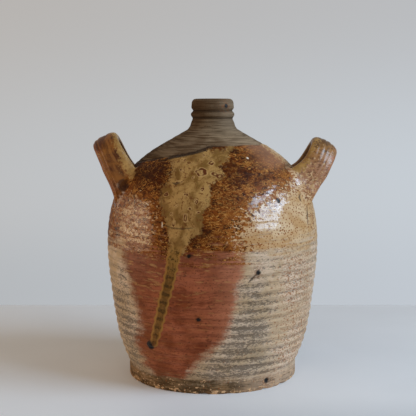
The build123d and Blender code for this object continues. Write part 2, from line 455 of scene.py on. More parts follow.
def relief(points, s):
    """How far the skin stands out from the smooth body, in millimetres."""
    made = marks(points)
    height = points[..., 2]
    in_ash = step(made["ash"], 3.0)
    in_run = np.clip((made["run"] + 0.4) / 3.0, 0, 1)

    # The throwing ridges, the unevenness of the clay, and the fine lines of the bare shoulder.
    out = throwing_rings(points, s) * np.interp(height, *np.array(RING_HEIGHT).T)
    out += 0.22 * noise(points, 34.0, 31) + 0.10 * noise(points, 12.0, 32)
    out += 0.045 * noise(points, 4.0, 33)
    out += 0.05 * noise(points * (0.1, 0.1, 1.0), 1.3, 34) * (height > NECK_BASE - 25)

    # The glaze with its swollen edge, the ash with its burst bubbles, and the run with its beads.
    out += 0.28 * step(made["glaze"], 1.6)
    out += 0.22 * bump(made["glaze"] - 1.0, 1.0) - 0.15 * bump(made["glaze"] + 1.2, 0.9)
    out += in_ash * (0.12 - 0.20 * made["rings"])
    out += 0.62 * np.sqrt(in_run) * (1 + 0.25 * made["beads"]) * step(166 - height, 20.0)
    for spot_azimuth, spot_z, radius, rise in SPOTS:
        away = away_from_spot(points, spot_azimuth, spot_z) / (1.25 * radius)
        out += rise * np.sqrt(np.clip(1 - away**2, 0, 1))

    # A groove where the foot band ends, chips along the foot's edge, and a crack in the shoulder.
    out -= 0.7 * bump(height - BAND_TOP - 0.8, 1.4) * (0.7 + 0.5 * noise(points, 14.0, 35))
    chips = np.clip(noise(points * (1, 1, 0.6), 9.0, 36) - 0.25, 0, 1)
    out -= 2.6 * chips * bump(height, 7.0)
    out -= 0.25 * np.abs(noise(points, 3.0, 37)) * (height < BAND_TOP)
    wander = 1.2 * noise(points, 8.0, 38)
    crack = np.abs(np.degrees(azimuth_of(points)) - CRACK_AZIMUTH - wander) * 1.9
    bottom, top = CRACK_HEIGHTS
    out -= 0.7 * bump(crack, 0.8) * step(height - bottom, 3.0) * step(top - height, 3.0)

    # The lip is smoother, and nothing stands out past the CAD model's widest line.
    out *= 1 - 0.5 * (height > LIP_BASE)
    return np.minimum(out, BELLY_RADIUS + SKIN - 0.05 - np.hypot(points[..., 0], points[..., 1]))


def body_point(azimuth, s):
    """A point of the smooth outside, and the direction straight out from it."""
    radius, height, out, up = outside.at(s)
    sin, cos = np.sin(azimuth), np.cos(azimuth)
    point = np.stack([radius * sin, -radius * cos, height], -1)
    normal = np.stack([out * sin, -out * cos, up], -1)
    return point, normal


def skin(azimuth, s):
    """A point of the finished outside."""
    point, normal = body_point(azimuth, s)
    return point + normal * relief(point, s)[..., None]


# ---------------------------------------------------------------- meshes
def smooth_normals(grid):
    """Directions out of a grid of rings that close on themselves."""
    around = np.roll(grid, -1, axis=1) - np.roll(grid, 1, axis=1)
    along = np.gradient(grid, axis=0)
    normal = np.cross(around, along)
    return normal / np.maximum(np.linalg.norm(normal, axis=-1, keepdims=True), 1e-9)


def flat_strip(first, second):
    """A strip straight from one ring to another, with the directions out of its own surface."""
    grid = np.stack([first, second])
    return grid, smooth_normals(grid)


def joined(strips):
    """The rings of several strips, each of which starts on the ring that the last one ended on."""
    return np.concatenate([strips[0][0]] + [grid[1:] for grid, _ in strips[1:]])


def side_faces(strips, count, inner):
    """The four-sided faces between the rings, as their points, the directions out at those, and
    whether each face is hidden."""
    across = strips[0][0].shape[1]
    column = np.arange(across)
    after = (column + 1) % across
    faces, normals, hidden = [], [], []
    row = 0
    for number, (grid, out) in enumerate(strips):
        for k in range(len(grid) - 1):
            a, b = (row + k) * across, (row + k + 1) % count * across
            faces.append(np.stack([a + column, a + after, b + after, b + column], -1))
            normals.append(np.stack([out[k], out[k][after], out[k + 1][after], out[k + 1]], 1))
            hidden.append(np.full(across, number in inner))
        row += len(grid) - 1
    return np.concatenate(faces), np.concatenate(normals), np.concatenate(hidden)


def pole_fan(vertices, ring, tip, order):
    """The triangles from a ring's points to its pole, and the directions out of them."""
    fan = np.stack([ring, np.roll(ring, -1), np.full(len(ring), tip)], -1)[:, ::order]
    a, b, c = (vertices[fan[:, k]] for k in range(3))
    out = np.cross(b - a, c - a)
    out /= np.maximum(np.linalg.norm(out, axis=1, keepdims=True), 1e-9)
    return fan, np.repeat(out, 3, axis=0)


def make_mesh(name, strips, poles, attributes, inner=()):
    """One closed mesh from strips of rings. Two poles close its ends; without them the last ring
    is the first. `inner` are the numbers of the strips that face the jug's hollow or another
    piece."""
    points = joined(strips)
    if poles is None:
        points = points[:-1]
    count, across = points.shape[:2]
    vertices = points.reshape(-1, 3)
    faces, normals, hidden = side_faces(strips, count, inner)
    corners, normals = faces.ravel(), normals.reshape(-1, 3)
    sizes = np.full(len(faces), 4)
    if poles is not None:
        for pole, row, order in ((poles[0], 0, -1), (poles[1], count - 1, 1)):
            vertices = np.vstack([vertices, pole])
            ring = row * across + np.arange(across)
            fan, out = pole_fan(vertices, ring, len(vertices) - 1, order)
            corners = np.r_[corners, fan.ravel()]
            normals = np.vstack([normals, out])
            sizes = np.r_[sizes, np.full(across, 3)]
            hidden = np.r_[hidden, np.full(across, True)]

    mesh = bpy.data.meshes.new(name)
    mesh.vertices.add(len(vertices))
    mesh.vertices.foreach_set("co", (vertices * MM).astype(np.float32).ravel())
    mesh.loops.add(len(corners))
    mesh.loops.foreach_set("vertex_index", corners.astype(np.int32))
    mesh.polygons.add(len(sizes))
    mesh.polygons.foreach_set("loop_start", np.r_[0, np.cumsum(sizes)[:-1]].astype(np.int32))
    mesh.polygons.foreach_set("material_index", hidden.astype(np.int32))
    mesh.update(calc_edges=True)
    mesh.validate()
    mesh.polygons.foreach_set("use_smooth", np.ones(len(sizes), bool))
    mesh.normals_split_custom_set(normals.astype(np.float32))
    for key, values in attributes.items():
        layer = mesh.attributes.new(key, "FLOAT", "POINT")
        poles_too = np.zeros(len(vertices), np.float32)
        poles_too[: values.size] = values.ravel()
        layer.data.foreach_set("value", poles_too)
    piece = bpy.data.objects.new(name, mesh)
    bpy.context.collection.objects.link(piece)
    return piece


def rows_between(start, end, spacing):
    """Evenly spaced places from a start to an end."""
    return np.linspace(start, end, max(2, int(round(abs(end - start) / spacing)) + 1))


azimuths = np.linspace(0, 2 * np.pi, COLUMNS, endpoint=False)
breaks = [0.0, s_slab, s_belly, s_neck, s_lip, crown]
row_lists = [
    rows_between(a, b, NECK_ROW_SPACING if a >= s_neck else ROW_SPACING)
    for a, b in zip(breaks, breaks[1:])
]
all_rows = np.concatenate([row_lists[0]] + [rows[1:] for rows in row_lists[1:]])
starts = np.r_[0, np.cumsum([len(rows) - 1 for rows in row_lists])]

azimuth_grid, s_grid = np.meshgrid(azimuths, all_rows)
outer = skin(azimuth_grid, s_grid)
outer[..., 2] = np.maximum(outer[..., 2], 0.0)
outer_normals = smooth_normals(outer)


def outer_strip(number):
    """The part of the outside between two breaks, with its directions out."""
    part = slice(starts[number], starts[number + 1] + 1)
    return outer[part], outer_normals[part]


def paint(points, s):
    """The values that the material reads, one for each point."""
    made = marks(points)
    made["groove"] = throwing_rings(points, s)
    made["height"] = points[..., 2]
    return made


def lathe(radii, heights):
    """Rings of plain circles."""
    sin, cos = np.sin(azimuths), np.cos(azimuths)
    return np.stack([
        np.stack([radius * sin, -radius * cos, np.full(COLUMNS, height)], -1)
        for radius, height in zip(radii, heights)
    ])


def inner_strip(start, end, spacing=6.0):
    """The inside surface between two arc lengths of its curve, with faint throwing rings."""
    rows = rows_between(start, end, spacing)
    radius, height, _, _ = inside.at(rows)
    ridges = np.cos(rows * 2 * np.pi / INNER_RING_PITCH)
    grid = lathe(radius * (1 + 0.0015 * ridges), height)
    return grid, smooth_normals(grid)


def body_piece(name, strips, inner, poles=None):
    """A piece of the body, painted from where its points are."""
    grid = joined(strips)
    if poles is None:
        grid = grid[:-1]
    return make_mesh(name, strips, poles, paint(grid, length_at(grid[..., 2])), inner)


# Where the seats between the pieces reach the inside.
inside_breaks = {
    "lip": inside.reach(NECK_TOP - SEAT_DROP / 2),
    "neck": inside.reach(NECK_HOLE[1]),
    "shoulder": inside.reach(BELLY_LINE - SEAT_DROP),
    "floor": inside.length[-1],
}


def make_foot():
    """The base slab, with the arcs under it from the wire that cut the jug off the wheel."""
    side = outer_strip(0)
    floor_radii = [83.0, 76.0, 60.0, 40.0, 20.0, 4.0]
    top = lathe(floor_radii, [FLOOR_TOP] * len(floor_radii))
    seat = flat_strip(side[0][-1], top[0])
    floor = (top, np.broadcast_to((0.0, 0.0, 1.0), top.shape))
    under_radii = np.r_[3.0, np.linspace(8.0, FOOT_RADIUS - 3.2, 74)]
    under = lathe(under_radii, np.zeros(len(under_radii)))
    swirl = noise(under * (1, 1, 0) + (7.0, 0, 0), 5.0, 41) + noise(under, 1.9, 42) * 0.5
    arcs = np.sin(np.hypot(under[..., 0] + 60, under[..., 1] + 130) * 2 * np.pi / WIRE_PITCH)
    under[..., 2] = 0.16 + 0.10 * arcs + 0.06 * swirl
    under[-1] = side[0][0]
    bottom = (under, smooth_normals(under))
    return body_piece("foot_slab", [bottom, side, seat, floor], inner=(0, 2, 3),
                      poles=((0, 0, 0.15), (0, 0, FLOOR_TOP)))


def make_wall(name, number, inner_part, inner=(1, 2, 3)):
    """A piece of the hollow body: its outside, its inside, and a seat at its top and bottom."""
    outer_part = outer_strip(number)
    top = flat_strip(outer_part[0][-1], inner_part[0][0])
    bottom = flat_strip(inner_part[0][-1], outer_part[0][0])
    return body_piece(name, [outer_part, top, inner_part, bottom], inner)


def make_lip():
    """The mouth ring, whose outside runs on over the crown and into the bore."""
    outer_part = outer_strip(4)
    bore_rows = rows_between(crown, outside.length[-1], 0.9)
    azimuth, s = np.meshgrid(azimuths, bore_rows)
    over = skin(azimuth, s)
    over[0] = outer_part[0][-1]
    over_out = smooth_normals(over)
    over_out[0] = outer_part[1][-1]
    inner_part = inner_strip(0.0, inside_breaks["lip"], 1.2)
    inner_part[0][0] = over[-1]
    bottom = flat_strip(inner_part[0][-1], outer_part[0][0])
    return body_piece("lip_ring", [outer_part, (over, over_out), inner_part, bottom], inner=(3,))


# ---------------------------------------------------------------- handles
# Each handle is a strap bent over a round crown, on two legs that spread apart downwards:
#   side, x, z      which side it is on, and where its root's centre is
#   lean, splay     in degrees, outwards, and of each leg
#   tall, crown     height of the arch over its root, and radius of its crown
#   width, thick    of the strap
#   square          how square its outer corners are
#   bow             how far the legs bow outwards higher up, and inwards at the root
#   flare           how far the front leg's inner edge widens at its root, over what length, and
#                   how far the rear leg's does
#   spread          how far the roots spread down the wall, and up towards the neck
#   grooves         that the fingers pulled: place across, depth, width
HANDLES = {
    "left": dict(
        side=-1, x=91.4, z=206.0, lean=26.8, splay=16.0, tall=53.8, crown=25.0,
        width=27.2, thick=12.8, square=2.6,
        bow=(0.4, 0.8), flare=(5.5, 44.0, 1.0), spread=(15.0, 11.0),
        grooves=[(-3.3, 0.7, 1.4), (0.8, 0.3, 1.4), (7.4, 0.6, 1.2), (11.0, 0.4, 0.8)],
    ),
    "right": dict(
        side=1, x=93.5, z=204.4, lean=31.5, splay=14.0, tall=52.2, crown=27.0,
        width=28.6, thick=13.0, square=2.15,
        bow=(2.2, 3.0), flare=(9.0, 29.0, 5.0), spread=(14.0, 18.0),
        grooves=[(-6.0, 0.45, 1.4), (-0.5, 0.6, 1.2), (4.6, 0.6, 1.2)],
    ),
}
INNER_SQUARE = 2.9                 # how square the corners on the finger side are
PAD_TOP = 16.0                     # where the strap ends and the pad begins, along the leg
PAD_ROWS = 26
THUMB_MARK = (-93.8, 210.5)        # across and height of a thumb mark on the left front root
THUMB_RADIUS = 6.6
THUMB_DEPTH = 1.6


def arch_lengths(handle):
    """How long each leg is, and the whole arch from root to root."""
    splay, crown = np.radians(handle["splay"]), handle["crown"]
    leg = (handle["tall"] - crown + crown * np.sin(splay)) / np.cos(splay)
    return leg, 2 * leg + (np.pi - 2 * splay) * crown


def arch(handle, p):
    """A point of the strap's centre line, the way it runs, and the way out of the arch, at a
    distance p along it from the foot of the front leg."""
    side, crown = handle["side"], handle["crown"]
    lean, splay = np.radians(handle["lean"]), np.radians(handle["splay"])
    leg, length = arch_lengths(handle)
    up = np.array([side * np.sin(lean), 0, np.cos(lean)])
    front = np.array([0.0, -1.0, 0.0])
    origin = np.array([side * handle["x"], 0, handle["z"]])
    bend = np.clip(splay + (p - leg) / crown, splay, np.pi - splay)
    down_leg = np.maximum(np.maximum(leg - p, p - length + leg), 0)
    forward = np.where(p < length / 2, 1, -1)
    place_front = crown * np.cos(bend) + forward * down_leg * np.sin(splay)
    place_up = handle["tall"] - crown + crown * np.sin(bend) - down_leg * np.cos(splay)
    centre = origin + place_front[..., None] * front + place_up[..., None] * up
    along = -np.sin(bend)[..., None] * front + np.cos(bend)[..., None] * up
    out = np.cos(bend)[..., None] * front + np.sin(bend)[..., None] * up
    return centre, along, out


def section(handle, p, turn):
    """A point of the strap's surface. `turn` runs round the section, from its inner edge, next to
    the neck, over the outside face."""
    centre, _, out = arch(handle, p)
    side, lean = handle["side"], np.radians(handle["lean"])
    half_width, half_thick = handle["width"] / 2, handle["thick"] / 2
    _, length = arch_lengths(handle)
    from_root = np.minimum(p, length - p)
    across = np.array([side * np.cos(lean), 0, -np.sin(lean)])
    cos, sin = -np.cos(turn), np.sin(turn)
    power = 2 / np.where(sin > 0, handle["square"], INNER_SQUARE)
    a = half_width * np.sign(cos) * np.abs(cos) ** power
    b = half_thick * np.sign(sin) * np.abs(sin) ** power

    # The strap is not quite even, its legs bow, and their inner edges flare towards the roots.
    swell = 1 + 0.02 * np.cos(4 * np.pi * p / length) + 0.015 * np.sin(p / 9.0 + side)
    bow_out, bow_in = handle["bow"]
    bow = bow_out * bump(from_root - 27.0, 17.0) - bow_in * bump(from_root, 11.0)
    front_flare, reach, rear_flare = handle["flare"]
    front_part = front_flare * bump(from_root, reach)
    flare = np.where(p < length / 2, front_part, rear_flare * bump(from_root, 19.0))
    bow += np.minimum(a, 0) / half_width * flare
    point = centre + (a * swell + bow)[..., None] * across + b[..., None] * out

    groove = np.zeros(a.shape)
    for place, depth, wide in handle["grooves"]:
        wander = 0.5 * np.sin(p / 17.0 + place)
        groove += depth * bump(a - place - wander, wide)
    groove *= np.where(sin > 0, 1.0, 0.35)
    lumps = 0.30 * noise(point, 13.0, 51) + 0.12 * noise(point, 5.0, 52)
    lumps += 0.05 * noise(point, 2.2, 53)
    outward = (a / half_width**2)[..., None] * across + (b / half_thick**2)[..., None] * out
    outward /= np.linalg.norm(outward, axis=-1, keepdims=True)
    return point + outward * (lumps - groove)[..., None]


def hit_wall(start, direction):
    """Where straight lines from outside the jug meet its smooth outer surface."""
    distances = np.linspace(-4, 60, 641)
    at = start[..., None, :] + distances[:, None] * direction[..., None, :]
    within = np.hypot(at[..., 0], at[..., 1]) < radius_at(at[..., 2])
    first = np.argmax(within, axis=-1)
    return start + distances[first][..., None] * direction


def on_skin(points, sink):
    """Places on the jug's skin at the azimuth and height of points, set a little into it, and the
    directions out of it there."""
    azimuth, s = azimuth_of(points), length_at(points[..., 2])
    place = skin(azimuth, s)
    _, normal = body_point(azimuth, s)
    sideways = skin(azimuth + 0.004, s) - skin(azimuth - 0.004, s)
    upwards = skin(azimuth, s + 0.5) - skin(azimuth, s - 0.5)
    out = np.cross(sideways, upwards)
    out /= np.linalg.norm(out, axis=-1, keepdims=True)
    return place - normal * sink, out


def root_rows(handle, turn, rear):
    """Rings from the wall up to the strap: a fillet that leaves the wall along its surface."""
    _, length = arch_lengths(handle)
    end, place = (length, length - PAD_TOP) if rear else (0.0, PAD_TOP)
    base = section(handle, np.full(turn.shape, end), turn)
    top = section(handle, np.full(turn.shape, place), turn)
    _, base_along, _ = arch(handle, np.array([end]))
    _, top_along, _ = arch(handle, np.array([place]))
    turned = 1 if rear else -1
    down, top_down = turned * base_along[0], turned * top_along[0]
    foot = hit_wall(base - down * 12.0, np.broadcast_to(down, base.shape))
    outward = foot - foot.mean(axis=0)
    _, wall_out = body_point(azimuth_of(foot), length_at(foot[:, 2]))
    outward -= wall_out * np.sum(outward * wall_out, axis=1, keepdims=True)
    outward /= np.linalg.norm(outward, axis=1, keepdims=True)
    toward_neck = step(outward[:, 2], 1.6)
    down_spread, neck_spread = handle["spread"]
    spread = down_spread + (neck_spread - down_spread) * toward_neck
    spread *= 1 + 0.10 * np.sin(3 * turn + handle["side"])
    contact, contact_out = on_skin(foot + outward * spread[:, None], sink=0.12)
    reach = np.linalg.norm(top - foot, axis=1, keepdims=True)
    low_pull = contact + (foot - contact) * 0.72
    high_pull = top + top_down * reach * 0.66
    t = np.linspace(0, 1, PAD_ROWS + 1)[:, None, None]
    rows = (
        contact * (1 - t) ** 3
        + 3 * low_pull * t * (1 - t) ** 2
        + 3 * high_pull * t**2 * (1 - t)
        + top * t**3
    )
    return rows, contact_out


def handle_grid(handle, turn):
    """The whole handle as rings, from the front root's edge to the rear root's, with how far up
    its pad each ring is, its distance along the arch, and the directions out at both edges."""
    _, length = arch_lengths(handle)
    front, front_out = root_rows(handle, turn, rear=False)
    rear, rear_out = root_rows(handle, turn, rear=True)
    p = rows_between(PAD_TOP, length - PAD_TOP, 1.1)
    turn_grid, p_grid = np.meshgrid(turn, p)
    grid = np.concatenate([front[:-1], section(handle, p_grid, turn_grid), rear[::-1][1:]])
    up_pad = np.linspace(0, 1, PAD_ROWS + 1)[:-1]
    share = np.r_[up_pad, np.ones(len(p)), up_pad[::-1]]
    place = np.r_[up_pad * PAD_TOP, p, length - up_pad[::-1] * PAD_TOP]
    return grid, share, place, front_out, rear_out


def thumb_mark(grid):
    """How deep in the potter's thumb mark a point lies, from 0 to 1."""
    away = np.hypot(grid[..., 0] - THUMB_MARK[0], grid[..., 2] - THUMB_MARK[1])
    return np.clip(1 - (away / THUMB_RADIUS) ** 2, 0, 1) * (grid[..., 1] < -12)


def handle_paint(name, grid, share, place, turn):
    """Paint for a handle: that of the wall at its roots, turning into its own colours."""
    made = paint(grid, length_at(grid[..., 2]))
    up, along, across, out = np.broadcast_arrays(
        step(share - 0.45, 0.7)[:, None], place[:, None], -np.cos(turn), np.sin(turn)
    )
    outer_face = out > -0.2
    from_root = np.minimum(along, place[-1] - along)
    patchy = noise(grid, 6.0, 61) * 2.0 + noise(grid, 2.6, 62) * 1.2
    lengthwise = np.stack([across * 14, along / 9.0, np.zeros(along.shape)], -1)

    if name == "left":
        # Amber, with a stripe of ash down its inner side and a pale outer edge.
        higher = step(from_root - 44.0, 30.0)
        stripe = 9.0 * (-across - 0.38 - 0.30 * higher) + patchy * 0.7
        own_ash = np.where(outer_face, stripe, -4.0)
        own_cream = 20.0 * step(across - 0.72, 0.5) - 26.0 + patchy
        own_blush = 9.0 * (across - 0.86) + 6.0 * (1 - up) + patchy
    else:
        # Paler towards its roots, with ash on its inner edge.
        own_ash = 7.0 * (-across - 0.80) + patchy
        own_cream = np.where(outer_face, 0.35 * (40.0 - from_root) - 9.0, -16.0) + patchy
        own_blush = 10.0 * (across - 0.95) + patchy
    for key, own in (("ash", own_ash), ("cream", own_cream), ("blush", own_blush)):
        made[key] = np.clip(made[key], -12, 12) * (1 - up) + own * up

    finger_side = step(-out - 0.35, 0.5)
    made["strap"] = up
    made["streak"] = (noise(lengthwise, 2.0, 63) + 0.6 * noise(lengthwise, 0.9, 64)) * up
    made["glaze"] = np.maximum(made["glaze"], 4.0 * (up > 0.02) + 2.0)
    made["strokes"] = made["strokes"] * (1 - up) - 3.0 * up
    made["run"] = made["run"] * (1 - up) - 6.0 * up
    made["rings"] = made["rings"] * (1 - up)
    # Painted shade on the strap's inner faces, under the arch.
    made["shade"] = np.maximum(made["shade"] * (1 - up), 0.85 * up * finger_side)
    if name == "left":
        thumb = thumb_mark(grid)
        hook = outline_depth(grid[..., 0], grid[..., 2], HOOK) + FAR * (grid[..., 1] > -15)
        made["ash"] = np.maximum(made["ash"], hook + patchy * 0.4)
        made["cream"] = np.where(thumb > 0.03, -30.0, made["cream"])
        # The thumb mark is dark.
        made["shade"] = np.maximum(made["shade"], step(thumb - 0.1, 0.2))
    return made


def split_handle(name):
    """The strap and its two pads, each a closed mesh, cut from one smooth surface."""
    turn = np.linspace(0, 2 * np.pi, SECTION_POINTS, endpoint=False)
    grid, share, place, front_out, rear_out = handle_grid(HANDLES[name], turn)
    if name == "right":
        # Mirrored to the other side, the rings run the other way round.
        grid, turn = grid[:, ::-1], turn[::-1]
        front_out, rear_out = front_out[::-1], rear_out[::-1]
    else:
        grid -= smooth_normals(grid) * (THUMB_DEPTH * thumb_mark(grid) ** 0.7)[..., None]
    out = smooth_normals(grid)
    out[0], out[-1] = front_out, rear_out
    values = handle_paint(name, grid, share, place, turn)
    end = len(grid) - 1
    cuts = {
        "front_root": (0, PAD_ROWS),
        "strap": (PAD_ROWS, end - PAD_ROWS),
        "rear_root": (end - PAD_ROWS, end),
    }
    made = []
    for part, (first, last) in cuts.items():
        rows = slice(first, last + 1)
        poles = []
        for row in (first, last):
            centre = grid[row].mean(axis=0)
            if row in (0, end):
                # The pads end on the wall, which is round, so their middles go further in.
                centre = centre * (0.97, 0.97, 1.0)
            poles.append(centre)
        painted = {key: value[rows] for key, value in values.items()}
        made.append(make_mesh(f"{name}_{part}", [(grid[rows], out[rows])], poles, painted))
    return made


# ---------------------------------------------------------------- materials
def tint(red, green, blue):
    """A colour as a screen shows it, 0 to 255, turned into the linear values that nodes take."""
    values = np.array([red, green, blue]) / 255
    linear = np.where(values <= 0.04045, values / 12.92, ((values + 0.055) / 1.055) ** 2.4)
    return (*linear, 1.0)


class Nodes:
    """Short names for making shader nodes in one material or world. Wherever a number or a socket
    goes in, a string stands for the mesh attribute of that name."""

    def __init__(self, owner):
        self.owner = owner
        owner.use_nodes = True
        self.tree = owner.node_tree
        self.tree.nodes.clear()
        self.coordinates = self.new("TexCoord").outputs
        self.attributes = {}

    def new(self, kind):
        """A new node."""
        return self.tree.nodes.new("ShaderNode" + kind)

    def attribute(self, name):
        """The value of a mesh attribute. Each attribute has one node."""
        if name not in self.attributes:
            node = self.new("Attribute")
            node.attribute_name = name
            self.attributes[name] = node.outputs["Fac"]
        return self.attributes[name]

    def feed(self, node, inputs):
        """Links or sets a node's inputs, which go by name or number."""
        for key, value in inputs.items():
            if isinstance(value, str):
                value = self.attribute(value)
            if isinstance(value, bpy.types.NodeSocket):
                self.tree.links.new(value, node.inputs[key])
            else:
                node.inputs[key].default_value = value
        return node.outputs

    def math(self, operation, *values):
        """The result of one calculation."""
        node = self.new("Math")
        node.operation = operation
        return self.feed(node, dict(enumerate(values)))[0]

    def times(self, a, b):
        """a * b."""
        return self.math("MULTIPLY", a, b)

    def plus(self, a, b):
        """a + b."""
        return self.math("ADD", a, b)

    def scaled(self, a, factor, offset):
        """a * factor + offset."""
        return self.math("MULTIPLY_ADD", a, factor, offset)

    def apart(self, a, b):
        """How far two values are from each other."""
        return self.math("ABSOLUTE", self.math("SUBTRACT", a, b))

    def moved(self, name, *wobbles):
        """An attribute in millimetres, moved by each (noise, reach) pair by half the reach either
        way."""
        total = name
        for wobble, reach in wobbles:
            total = self.scaled(self.plus(wobble, -0.5), reach, total)
        return total

    def scattered(self, kind, size, wide, tall, shifts, inputs):
        """A texture node in object space, for features of about `size` millimetres."""
        mapping = self.new("Mapping")
        scales = [1 / (k * size * MM) for k in (wide, wide, tall)]
        self.feed(mapping, {"Vector": self.coordinates["Object"], "Scale": scales, "Location": shifts})
        return self.feed(self.new(kind), {"Vector": mapping.outputs[0], "Scale": 1.0, **inputs})

    def noise(self, size, detail=3, rough=0.55, warp=0.0, wide=1.0, tall=1.0, shift=0.0):
        """Noise from 0 to 1. Its features are `wide` times as long round the jug as `size`."""
        shifts = (shift, shift * 0.7, shift * 1.3)
        inputs = {"Detail": detail, "Roughness": rough, "Distortion": warp}
        return self.scattered("TexNoise", size, wide, tall, shifts, inputs)["Fac"]

    def cells(self, size, shift):
        """Distance from the nearest of scattered points, in cell sizes."""
        return self.scattered("TexVoronoi", size, 1.0, 1.0, (shift, shift, shift), {})["Distance"]

    def between(self, value, low, high, most=1.0, soft=True):
        """0 where a value is at or below low, `most` at or above high."""
        node = self.new("MapRange")
        node.interpolation_type = "SMOOTHSTEP" if soft else "LINEAR"
        inputs = {"Value": value, "From Min": low, "From Max": high, "To Max": most}
        return self.feed(node, inputs)["Result"]

    def mix(self, share, a, b):
        """Colour a turning into colour b."""
        node = self.new("Mix")
        node.data_type = "RGBA"
        return self.feed(node, {"Factor": share, 6: a, 7: b})[2]

    def coats(self, colour, *coats):
        """A colour with others over it, each given as its share and its red, green and blue."""
        for share, rgb in coats:
            colour = self.mix(share, colour, tint(*rgb))
        return colour

    def blend(self, share, a, b):
        """Number a turning into number b."""
        return self.feed(self.new("Mix"), {"Factor": share, 2: a, 3: b})[0]

    def split(self, vector):
        """The x, y and z of a vector."""
        return self.feed(self.new("SeparateXYZ"), {0: vector})

    def lay(self, share, under, layer):
        """One layer over another, each a colour, a roughness and a fine relief."""
        return (
            self.mix(share, under[0], layer[0]),
            self.blend(share, under[1], layer[1]),
            self.blend(share, under[2], layer[2]),
        )

    def finish(self, colour, rough, height, bump_distance, specular=0.3):
        """The finished surface. `bump_distance` is how deep its relief is, in millimetres."""
        relief_node = self.new("Bump")
        self.feed(relief_node, {"Distance": bump_distance * MM, "Height": height})
        shader = self.feed(self.new("BsdfPrincipled"), {
            "Base Color": colour,
            "Roughness": rough,
            "Normal": relief_node.outputs[0],
            "Specular IOR Level": specular,
        })
        self.feed(self.new("OutputMaterial"), {"Surface": shader[0]})
        return self.owner


# Each layer returns its colour, its roughness and its fine relief, all as sockets or numbers.
def dry_clay(n):
    """Bare grey-brown clay of the neck, with the fine dark lines of the potter's fingers."""
    lines = n.noise(1.15, 3, 0.6, wide=24)
    smoke = n.noise(34, 3, 0.5, shift=3.1)
    grain = n.noise(1.4, 3, 0.7, shift=1.2)
    on_neck = n.between("height", 258, 276)
    # Painted light: the right side, towards the window, is lighter, most of all on the neck.
    painted_lit_side = n.times(n.between("side", 0.0, 0.8), n.scaled(on_neck, 0.34, 0.08))
    # Painted shade in the neck's two grooves.
    painted_groove_shade = [n.between(n.apart("height", z), 1.6, 0.4, 0.55) for z in NECK_HOLLOWS]
    colour = n.coats(
        tint(84, 66, 46),
        (n.between(lines, 0.36, 0.62), (146, 124, 98)),
        (n.between(smoke, 0.45, 0.60, 0.6), (84, 60, 38)),
        (n.between(grain, 0.60, 0.72), (62, 45, 30)),
        (n.between("side", 0.0, -0.8, 0.40), (66, 42, 22)),
        (painted_lit_side, (172, 150, 124)),
        (n.times(on_neck, 0.36), (58, 42, 28)),
        (n.plus(*painted_groove_shade), (36, 26, 18)),
    )
    return colour, 0.85, n.scaled(lines, 0.8, n.times(grain, 0.2))


